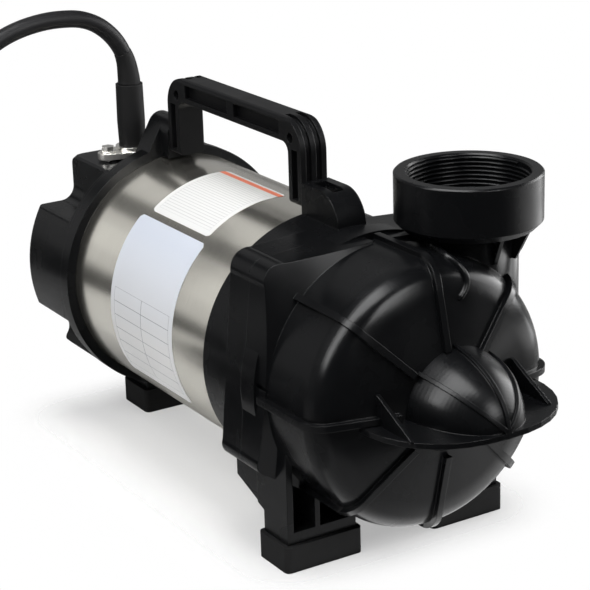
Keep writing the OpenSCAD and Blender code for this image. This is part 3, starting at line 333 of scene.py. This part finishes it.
GROUPS = {
    "skin": node_group("moulded skin", {"Grain": 900.0, "Scuffs": 0.3},
                       {"Gloss": "NodeSocketFloat", "Height": "NodeSocketFloat",
                        "Scuff": "NodeSocketFloat"}, moulded_skin),
    "brushed": node_group("brushed sheet", {"Fineness": 1500.0},
                          {"Streak": "NodeSocketFloat", "Cloud": "NodeSocketFloat"},
                          brushed_sheet),
    "dust": node_group("low dust", {"Reach": 0.05, "Amount": 0.3},
                       {"Dust": "NodeSocketFloat"}, edge_dust),
    "domed front": node_group("domed front", {"Start": 0.074, "Rate": 10.0},
                              {"Height": "NodeSocketFloat", "Front": "NodeSocketFloat"},
                              domed_front),
    "paper": node_group("ruled paper", {"Left": 0.06, "Right": 0.94, "Low": 0.06, "High": 0.55,
                                        "Rows": 6.0, "Columns": 2.0, "Thickness": 0.004},
                        {"Lines": "NodeSocketFloat", "Fibre": "NodeSocketFloat",
                         "Height": "NodeSocketFloat"}, ruled_paper),
}


# Radius of the rounded edges, depth of the fine relief, and where a label's colours fade
MOULDED_EDGE = 0.0009
GLOSS_SPREAD = 0.10
METAL_EDGE = 0.0004
MOULDED_RELIEF = 0.0002
FINE_RELIEF = 0.0001
EDGE_SAMPLES = 4
DUST_DULLS = 0.25
PAPER_FADE = (0.3, 0.9)
PAPER_ROUGH = (0.42, 0.56)
PAPER_RELIEF = 0.06
PAPER_SPECULAR = 0.3
INK_SHARE = 0.8


def new_material(name):
    material = bpy.data.materials.new(name)
    material.use_nodes = True
    material.node_tree.nodes.clear()
    tree = Tree(material.node_tree)
    shader = tree.add("ShaderNodeBsdfPrincipled")
    out = tree.add("ShaderNodeOutputMaterial")
    material.node_tree.links.new(shader.outputs[0], out.inputs[0])
    return material, tree, shader


def use_group(tree, key, **values):
    node = tree.add("ShaderNodeGroup", node_tree=GROUPS[key])
    for label, value in values.items():
        node.inputs[label].default_value = value
    return node.outputs


def moulded(name, colour, rough, grain=900.0, bump=0.10, scuffs=0.3, dust=0.3, specular=0.4,
            domed=False):
    """A moulded skin: plastic or rubber, with rounded edges."""
    material, tree, shader = new_material(name)
    skin = use_group(tree, "skin", Grain=grain, Scuffs=scuffs)
    haze = use_group(tree, "dust", Amount=dust)
    pale = tuple(0.6 * c + 0.05 for c in colour) + (1,)
    tint = tree.mix(haze["Dust"], tuple(colour) + (1,), pale)
    tree.tree.links.new(tint, shader.inputs["Base Color"])
    gloss = tree.math("MULTIPLY", skin["Gloss"], GLOSS_SPREAD)
    wear = tree.math("ADD", gloss, tree.math("MULTIPLY", haze["Dust"], DUST_DULLS))
    tree.tree.links.new(tree.math("ADD", wear, rough), shader.inputs["Roughness"])
    rounded = tree.add("ShaderNodeBevel", {"Radius": MOULDED_EDGE}, samples=EDGE_SAMPLES).outputs[0]
    if domed:
        front = use_group(tree, "domed front")
        bent = tree.add("ShaderNodeBump", {"Strength": 1.0, "Distance": 1.0,
                                           "Height": front["Height"], "Normal": rounded}).outputs[0]
        rounded = tree.add("ShaderNodeMix", {0: front["Front"], 4: rounded, 5: bent},
                           data_type="VECTOR").outputs[1]
    relief = tree.add("ShaderNodeBump", {"Strength": bump, "Distance": MOULDED_RELIEF,
                                         "Height": skin["Height"], "Normal": rounded}).outputs[0]
    tree.tree.links.new(relief, shader.inputs["Normal"])
    shader.inputs["Specular IOR Level"].default_value = specular
    return material


def metal(name, colour, rough, streak=0.12, fineness=1500.0, bump=0.05):
    """A sheet, turned or plated metal with streaks round the shaft."""
    material, tree, shader = new_material(name)
    brushed = use_group(tree, "brushed", Fineness=fineness)
    shade = tree.math("ADD", tree.math("MULTIPLY", brushed["Streak"], 0.7),
                      tree.math("MULTIPLY", brushed["Cloud"], 0.3))
    dark = tuple(0.78 * c for c in colour) + (1,)
    tint = tree.mix(tree.spread(shade, 0.3, 0.7, 0.0, 1.0), dark, tuple(colour) + (1,))
    tree.tree.links.new(tint, shader.inputs["Base Color"])
    rougher = tree.spread(brushed["Streak"], 0.3, 0.7, rough - streak / 2, rough + streak / 2)
    tree.tree.links.new(rougher, shader.inputs["Roughness"])
    rounded = tree.add("ShaderNodeBevel", {"Radius": METAL_EDGE}, samples=EDGE_SAMPLES).outputs[0]
    relief = tree.add("ShaderNodeBump", {"Strength": bump, "Distance": FINE_RELIEF,
                                         "Height": brushed["Streak"], "Normal": rounded}).outputs[0]
    tree.tree.links.new(relief, shader.inputs["Normal"])
    shader.inputs["Metallic"].default_value = 1.0
    return material


def paper(name, low_colour, high_colour, ink, strip=None, **rules):
    """A printed label: one colour fading into another, thin rules and maybe a strip on top."""
    material, tree, shader = new_material(name)
    sheet = use_group(tree, "paper", **rules)
    tint = tree.mix(tree.spread(sheet["Height"], *PAPER_FADE, 0.0, 1.0),
                    low_colour + (1,), high_colour + (1,))
    if strip:
        above = tree.math("GREATER_THAN", sheet["Height"], strip[0])
        below = tree.math("LESS_THAN", sheet["Height"], strip[1])
        tint = tree.mix(tree.math("MULTIPLY", above, below), tint, strip[2] + (1,))
    tint = tree.mix(tree.math("MULTIPLY", sheet["Lines"], INK_SHARE), tint, ink + (1,))
    tree.tree.links.new(tint, shader.inputs["Base Color"])
    tree.tree.links.new(tree.spread(sheet["Fibre"], 0.3, 0.7, *PAPER_ROUGH),
                        shader.inputs["Roughness"])
    relief = tree.add("ShaderNodeBump", {"Strength": PAPER_RELIEF, "Distance": FINE_RELIEF,
                                         "Height": sheet["Fibre"]}).outputs[0]
    tree.tree.links.new(relief, shader.inputs["Normal"])
    shader.inputs["Specular IOR Level"].default_value = PAPER_SPECULAR
    return material


CASING_BLACK = (0.0036, 0.0038, 0.0043)

MATERIALS = {
    "casing": moulded("casing black", CASING_BLACK, 0.27, scuffs=0.15, specular=0.08),
    "casing front": moulded("casing front black", CASING_BLACK, 0.24, scuffs=0.15,
                            specular=0.08, domed=True),
    "handle": moulded("handle black", (0.0040, 0.0041, 0.0046), 0.36, scuffs=0.2, specular=0.07),
    "rubber": moulded("rubber black", (0.0065, 0.0065, 0.0068), 0.55, grain=1400.0, bump=0.2,
                      dust=0.2, specular=0.08),
    "cord": moulded("cord jacket black", (0.0085, 0.0085, 0.0092), 0.42, grain=1600.0, bump=0.08,
                    dust=0.2, specular=0.08),
    "strap": moulded("strap black", (0.02, 0.02, 0.02), 0.85, grain=2200.0, bump=0.5),
    "impeller": moulded("impeller black", (0.03, 0.03, 0.033), 0.45),
    "carbon": moulded("seal carbon", (0.03, 0.03, 0.033), 0.30, bump=0.03),
    "ceramic": moulded("seal ceramic", (0.72, 0.69, 0.62), 0.22, bump=0.03, dust=0.0),
    "white shell": moulded("capacitor white", (0.74, 0.73, 0.69), 0.40, dust=0.0),
    "name label": paper("name label", (0.80, 0.80, 0.80), (0.58, 0.62, 0.70), (0.16, 0.17, 0.19)),
    "note label": paper("note label", (0.74, 0.74, 0.73), (0.70, 0.70, 0.68), (0.42, 0.42, 0.42),
                        strip=(0.895, 0.965, (0.82, 0.21, 0.11)), Low=0.07, High=0.86, Rows=22.0,
                        Columns=1.0, Thickness=0.0035),
    "can": metal("can stainless", (0.80, 0.775, 0.70), 0.22, streak=0.08, bump=0.05),
    "zinc": metal("zinc plate", (0.66, 0.65, 0.62), 0.32, streak=0.10, fineness=400.0),
    "ground": metal("ground steel", (0.62, 0.62, 0.62), 0.22, fineness=2600.0),
    "iron": metal("plain iron", (0.30, 0.29, 0.28), 0.48, fineness=700.0, bump=0.2),
    "copper": metal("varnished copper", (0.58, 0.26, 0.12), 0.35, fineness=500.0, bump=0.3),
    "brass": metal("plain brass", (0.62, 0.46, 0.20), 0.28, fineness=900.0),
}

FINISH = {
    "casing front": ["pump_casing"],
    "casing": ["suction_visor", "discharge_collar", "motor_bracket", "rear_cover"],
    "handle": ["handle", "thermal_protector"],
    "rubber": ["casing_o_ring", "front_gasket", "rear_gasket", "left_foot", "right_foot",
               "rear_foot", "cable_boot", "plug_body", "seal_bellows", "lip_seal"],
    "cord": ["power_cord", "cord_coil", "cord_tail"],
    "strap": ["coil_tie"],
    "impeller": ["impeller"],
    "carbon": ["seal_ring"],
    "ceramic": ["seal_seat"],
    "white shell": ["run_capacitor"],
    "can": ["motor_can"],
    "zinc": ["casing_bolts", "tie_bolts", "handle_screws", "gland_plate", "gland_bolts"],
    "ground": ["shaft", "front_bearing_outer", "front_bearing_inner", "front_bearing_balls",
               "rear_bearing_outer", "rear_bearing_inner", "rear_bearing_balls"],
    "iron": ["backing_plate", "stator_core", "rotor_core"],
    "copper": ["stator_windings"],
    "brass": ["impeller_nut", "plug_blades"],
}


def new_piece(name, shape, finish):
    """A mesh that rides on the pump, made from a bmesh."""
    mesh = bpy.data.meshes.new(name)
    bmesh.ops.recalc_face_normals(shape, faces=shape.faces)
    shape.to_mesh(mesh)
    shape.free()
    mesh.materials.append(MATERIALS[finish])
    piece = bpy.data.objects.new(name, mesh)
    bpy.context.scene.collection.objects.link(piece)
    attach(piece, PUMP)
    return piece


# --- Labels on the can ------------------------------------------------------------------

LABEL_LIFT = 0.00016
LABEL_CELLS = 48
# Name, finish, from and to along the can, from and to as degrees round it, corner radius
LABELS = [("name_label", "name label", 0.0535, 0.154, 131.5, 213, 0.003),
          ("note_label", "note label", 0.057, 0.146, 84, 128, 0.004)]


def add_label(name, finish, y_from, y_to, angle_from, angle_to, corner):
    """A thin sheet wrapped on the can, its top at angle_from, with rounded corners."""
    shape = bmesh.new()
    uv = shape.loops.layers.uv.new("print")
    bmesh.ops.create_grid(shape, x_segments=LABEL_CELLS, y_segments=LABEL_CELLS, size=1)
    half_y = (y_to - y_from) / 2
    half_arc = math.radians(angle_to - angle_from) / 2 * CAN_R
    for face in shape.faces:
        for loop in face.loops:
            loop[uv].uv = (loop.vert.co.x / 2 + 0.5, loop.vert.co.y / 2 + 0.5)
    for vert in shape.verts:
        arc = vert.co.y * half_arc
        over = max(0, abs(arc) - half_arc + corner)
        width = half_y - corner + math.sqrt(max(0, corner ** 2 - over ** 2))
        angle = math.radians((angle_from + angle_to) / 2) - arc / CAN_R
        reach = CAN_R + LABEL_LIFT
        vert.co = on_pump(reach * math.cos(angle), (y_from + y_to) / 2 - vert.co.x * width,
                          AXIS_H + reach * math.sin(angle))
    for face in shape.faces:
        face.smooth = True
    piece = new_piece(name, shape, finish)
    out = piece.data.polygons[0]
    away = out.center - on_pump(0, 0, AXIS_H)
    away.y = 0
    if out.normal.dot(away) < 0:
        piece.data.flip_normals()


def add_labels():
    for label in LABELS:
        add_label(*label)


# --- Discharge thread and boot ----------------------------------------------------------

OUTLET = (0.0625, -0.103)
OUTLET_TOP = 0.2695
THREAD_R = 0.0438
THREAD_PITCH = 0.0032
THREAD_DEPTH = 0.0009
THREAD_TURNS = 9
THREAD_STEPS = 96
THREAD_START = 0.003
# The tooth stands a little into the bore's wall: sunk, half its root and half its crest
TOOTH_SUNK = 0.0003
TOOTH_ROOT = 0.0013
TOOTH_CREST = 0.0003


def add_thread():
    """The pipe thread's ridge, one tooth carried round and down the discharge."""
    shape = bmesh.new()
    centre = on_pump(*OUTLET, OUTLET_TOP - THREAD_START)
    tooth = [(TOOTH_SUNK, TOOTH_ROOT), (-THREAD_DEPTH, TOOTH_CREST), (-THREAD_DEPTH, -TOOTH_CREST),
             (TOOTH_SUNK, -TOOTH_ROOT)]
    verts = [shape.verts.new(centre + Vector((THREAD_R + x, 0, z))) for x, z in tooth]
    edges = [shape.edges.new(pair) for pair in zip(verts, verts[1:])]
    bmesh.ops.spin(shape, geom=verts + edges, cent=centre, axis=(0, 0, 1),
                   dvec=(0, 0, -THREAD_PITCH / THREAD_STEPS), angle=2 * math.pi * THREAD_TURNS,
                   steps=THREAD_STEPS * THREAD_TURNS, use_duplicate=False)
    piece = new_piece("discharge_thread", shape, "casing")
    if sum(f.normal.dot(Vector((centre.x, centre.y, f.center.z)) - f.center)
           for f in piece.data.polygons) < 0:
        piece.data.flip_normals()


BAR_FACETS = 6
# Radius in metres, and millimetres along the cord
BOOT_SLEEVE = [(0.0094, 0), (0.0092, 4), (0.0086, 12), (0.0079, 20), (0.0073, 27), (0.0070, 30)]


def add_boot_sleeve():
    """The boot's soft inner sleeve, which tapers along the cord above the boot's mouth."""
    route = smooth_path(on_pump_mm(CORD_ROUTE), ROUTE_STEPS)
    reached, places, radii = 0, [route[0]], [BOOT_SLEEVE[0][0]]
    for a, b in zip(route, route[1:]):
        reached += (b - a).length * 1000
        for (r0, s0), (r1, s1) in zip(BOOT_SLEEVE, BOOT_SLEEVE[1:]):
            if s0 < reached <= s1:
                places.append(b)
                radii.append(r0 + (r1 - r0) * (reached - s0) / (s1 - s0))
    round_bar("boot_sleeve", places, radii, "rubber", BAR_FACETS)


# The bead that curls from the neck's root over the casing's shoulder, in millimetres
NECK_BEAD = [
    (27.5, -105, 221.4), (23.0, -121, 223.0), (18.8, -135, 223.4), (21.3, -143, 220),
    (24.2, -147.2, 214.9), (25.9, -149.5, 209.4), (25.1, -150.5, 204.8), (21.6, -151.8, 200.1),
    (16.4, -153.2, 196.5)]
NECK_BEAD_R = 0.0026
NECK_BEAD_STEPS = 5
NECK_BEAD_TAPER = 3


def add_neck_bead():
    """A round bead half sunk in the casing, which thins out over its last points."""
    places = smooth_path(on_pump_mm(NECK_BEAD), NECK_BEAD_STEPS)
    radii = [NECK_BEAD_R * min(1.0, (i + 1) / NECK_BEAD_TAPER, (len(places) - i) / NECK_BEAD_TAPER)
             for i in range(len(places))]
    round_bar("neck_bead", places, radii, "casing", BAR_FACETS)


def dress_solids():
    for finish, nodes in FINISH.items():
        for node in nodes:
            slots = NODES[node].data.materials
            slots.clear()
            slots.append(MATERIALS[finish])


# --- Studio -----------------------------------------------------------------------------

WORLD_LIGHT = 0.22
WORLD_MIRROR = 0.10
# Reflector wedges behind the pump: from and to as degrees round the shaft, brightness, place
WEDGES = [(8, 50, 0.34, 1.5), (61, 107, 0.63, 1.5), (127, 183, 0.62, 1.5), (141, 165, 0.76, 1.48)]
WEDGE_R = (0.2, 3.4)
WEDGE_STEPS = 8
# The floor shows under the pump and fades out past this box: middle, half size and reach
FLOOR_MIDDLE = (-0.005, 0.05, 0.0)
FLOOR_HALF = (0.080, 0.165, 1.0)
FLOOR_FADE = 0.075
FLOOR_SHOWN = 0.6
FLOOR_MIRROR = 0.62
FLOOR_SIZE = 6
FLOOR_DROP = 0.0004
CARD_LIFT = 0.0004
FLOOR_WHITE = (0.93, 0.93, 0.93, 1)
BLACK = (0, 0, 0, 1)
WHITE = (1, 1, 1, 1)
# Softboxes seen in the glossy parts alone: four corners and brightness
SOFTBOXES = {
    "left": ([(-1.35, -0.15, 0.60), (-1.35, 0.25, 0.60),
              (-0.75, 0.20, 1.35), (-0.75, -0.35, 1.35)], 24),
    "over": ([(-0.75, -0.45, 1.35), (-0.75, 0.20, 1.35),
              (-0.10, 0.30, 1.60), (-0.10, -0.75, 1.60)], 26),
    "right": ([(1.20, -0.80, 0.18), (1.45, 0.35, 0.18),
               (1.25, 0.30, 0.95), (1.00, -0.85, 0.95)], 12),
    "front": ([(-0.15, -1.75, 0.75), (0.50, -1.60, 0.75),
               (0.45, -1.20, 1.35), (-0.15, -1.35, 1.35)], 26),
}
# Lamps: place, what they point at, width, height and power
LAMPS = {
    "top lamp": ((-0.1, -0.5, 1.6), (0, 0, 0.12), 0.75, 0.55, 17),
    "left lamp": ((-0.95, -0.3, 1.35), (0, 0, 0.12), 0.8, 0.7, 11),
    "right lamp": ((1.35, 0.1, 0.95), (0, -0.05, 0.12), 0.7, 0.6, 9),
}
# Patches of the floor as the glossy parts alone see it: corners in x and y, and brightness
PATCHES = {
    "behind": ([(-1.3, 0.62), (-0.25, 0.62), (-0.55, 1.45), (-1.9, 1.45)], 0.04),
    "front": ([(-2.0, -2.2), (0.45, -2.2), (0.30, -0.33), (-2.0, -0.33)], 0.03),
    "left": ([(-2.0, -0.33), (-0.45, -0.33), (-0.60, 0.00), (-2.0, 0.00)], 0.03),
    "right": ([(0.60, -1.00), (0.95, -1.00), (1.35, 0.10), (0.65, 0.10)], 5.0),
    "near_front": ([(-0.20, -0.33), (0.30, -0.33), (0.22, -0.14), (-0.16, -0.14)], 1.8),
    "near_left": ([(-0.14, -0.13), (-0.14, 0.52), (-0.50, 0.52), (-0.42, -0.13)], 0.66),
}


def stage_piece(name, shape, material):
    mesh = bpy.data.meshes.new(name)
    shape.to_mesh(mesh)
    shape.free()
    mesh.materials.append(material)
    piece = bpy.data.objects.new(name, mesh)
    bpy.context.scene.collection.objects.link(piece)
    return piece


def only_mirrored(piece):
    """Shown in reflections alone: no light, no shadow and nothing to the camera."""
    piece.visible_camera = False
    piece.visible_diffuse = False
    piece.visible_transmission = False
    piece.visible_volume_scatter = False
    piece.visible_shadow = False


def glow(name, strength):
    material = bpy.data.materials.new(name)
    material.use_nodes = True
    material.node_tree.nodes.clear()
    tree = Tree(material.node_tree)
    light = tree.add("ShaderNodeEmission", {"Color": WHITE, "Strength": strength})
    out = tree.add("ShaderNodeOutputMaterial")
    material.node_tree.links.new(light.outputs[0], out.inputs[0])
    return material


def add_floor():
    """A white floor that shows near the pump, where its shadow falls, and fades out."""
    shape = bmesh.new()
    bmesh.ops.create_grid(shape, x_segments=1, y_segments=1, size=FLOOR_SIZE)
    bmesh.ops.translate(shape, verts=shape.verts, vec=(0, 0, -FLOOR_DROP))
    material, tree, shader = new_material("floor white")
    shader.inputs["Roughness"].default_value = 0.9
    shader.inputs["Specular IOR Level"].default_value = 0.1
    place = tree.add("ShaderNodeTexCoord").outputs["Object"]
    off = tree.add("ShaderNodeVectorMath", {0: place, 1: FLOOR_MIDDLE},
                   operation="SUBTRACT").outputs[0]
    off = tree.add("ShaderNodeVectorMath", {0: off}, operation="ABSOLUTE").outputs[0]
    off = tree.add("ShaderNodeVectorMath", {0: off, 1: FLOOR_HALF}, operation="SUBTRACT").outputs[0]
    off = tree.add("ShaderNodeVectorMath", {0: off, 1: (0, 0, 0)}, operation="MAXIMUM").outputs[0]
    away = tree.add("ShaderNodeVectorMath", {0: off}, operation="LENGTH").outputs["Value"]
    fade = tree.add("ShaderNodeMapRange", {"Value": away, "From Min": 0.0, "From Max": FLOOR_FADE,
                                           "To Min": 1 - FLOOR_SHOWN, "To Max": 1.0},
                    interpolation_type="SMOOTHSTEP").outputs[0]
    seen = tree.add("ShaderNodeLightPath").outputs["Is Camera Ray"]
    mirrored = tree.math("MULTIPLY", tree.add("ShaderNodeLightPath").outputs["Is Glossy Ray"],
                         1 - FLOOR_MIRROR)
    tint = tree.mix(mirrored, FLOOR_WHITE, BLACK)
    material.node_tree.links.new(tint, shader.inputs["Base Color"])
    clear = tree.add("ShaderNodeBsdfTransparent").outputs[0]
    mixed = tree.add("ShaderNodeMixShader", {0: tree.math("MULTIPLY", fade, seen),
                                             1: shader.outputs[0], 2: clear}).outputs[0]
    out = next(n for n in material.node_tree.nodes if n.type == "OUTPUT_MATERIAL")
    material.node_tree.links.new(mixed, out.inputs[0])
    stage_piece("floor", shape, material)


def add_wedges():
    """Reflectors that give the sheet its bright bands, and the cards for the other gloss."""
    for i, (start, end, strength, y) in enumerate(WEDGES):
        shape = bmesh.new()
        ring = []
        for r in WEDGE_R:
            row = []
            for k in range(WEDGE_STEPS + 1):
                angle = math.radians(start + (end - start) * k / WEDGE_STEPS)
                row.append(shape.verts.new((SHAFT_X + r * math.cos(angle), y,
                                            AXIS_H + r * math.sin(angle))))
            ring.append(row)
        for k in range(WEDGE_STEPS):
            shape.faces.new((ring[0][k], ring[0][k + 1], ring[1][k + 1], ring[1][k]))
        only_mirrored(stage_piece("reflector_%d" % i, shape, glow("reflector %d" % i, strength)))
    cards = {"floor_" + label: ([(x, y, CARD_LIFT) for x, y in corners], strength)
             for label, (corners, strength) in PATCHES.items()}
    cards.update({"softbox_" + label: card for label, card in SOFTBOXES.items()})
    for label, (corners, strength) in cards.items():
        shape = bmesh.new()
        shape.faces.new([shape.verts.new(corner) for corner in corners])
        only_mirrored(stage_piece(label, shape, glow(label, strength)))


def add_world():
    world = bpy.data.worlds.new("surround")
    world.use_nodes = True
    world.node_tree.nodes.clear()
    sky = Tree(world.node_tree)
    rays = sky.add("ShaderNodeLightPath").outputs
    plain = sky.spread(rays["Is Glossy Ray"], 0.0, 1.0, WORLD_LIGHT, WORLD_MIRROR)
    strength = sky.math("MAXIMUM", rays["Is Camera Ray"], plain)
    light = sky.add("ShaderNodeBackground", {"Color": WHITE, "Strength": strength})
    out = sky.add("ShaderNodeOutputWorld")
    world.node_tree.links.new(light.outputs[0], out.inputs[0])
    bpy.context.scene.world = world


def add_lamp(name, at, towards, width, height, power):
    data = bpy.data.lights.new(name, "AREA")
    data.shape = "RECTANGLE"
    data.size = width
    data.size_y = height
    data.energy = power
    lamp = bpy.data.objects.new(name, data)
    aim = (Vector(towards) - Vector(at)).to_track_quat("-Z", "Y")
    lamp.matrix_world = Matrix.Translation(at) @ aim.to_matrix().to_4x4()
    lamp.visible_glossy = False
    bpy.context.scene.collection.objects.link(lamp)


def add_studio():
    """A white floor and surround, soft lamps above and beside, and reflectors behind."""
    add_floor()
    add_wedges()
    add_world()
    for name, settings in LAMPS.items():
        add_lamp(name, *settings)


bpy.context.scene.view_settings.view_transform = "Standard"
add_camera()
add_cord()
dress_solids()
add_labels()
add_thread()
add_boot_sleeve()
add_neck_bead()
add_studio()
bpy.context.view_layer.update()
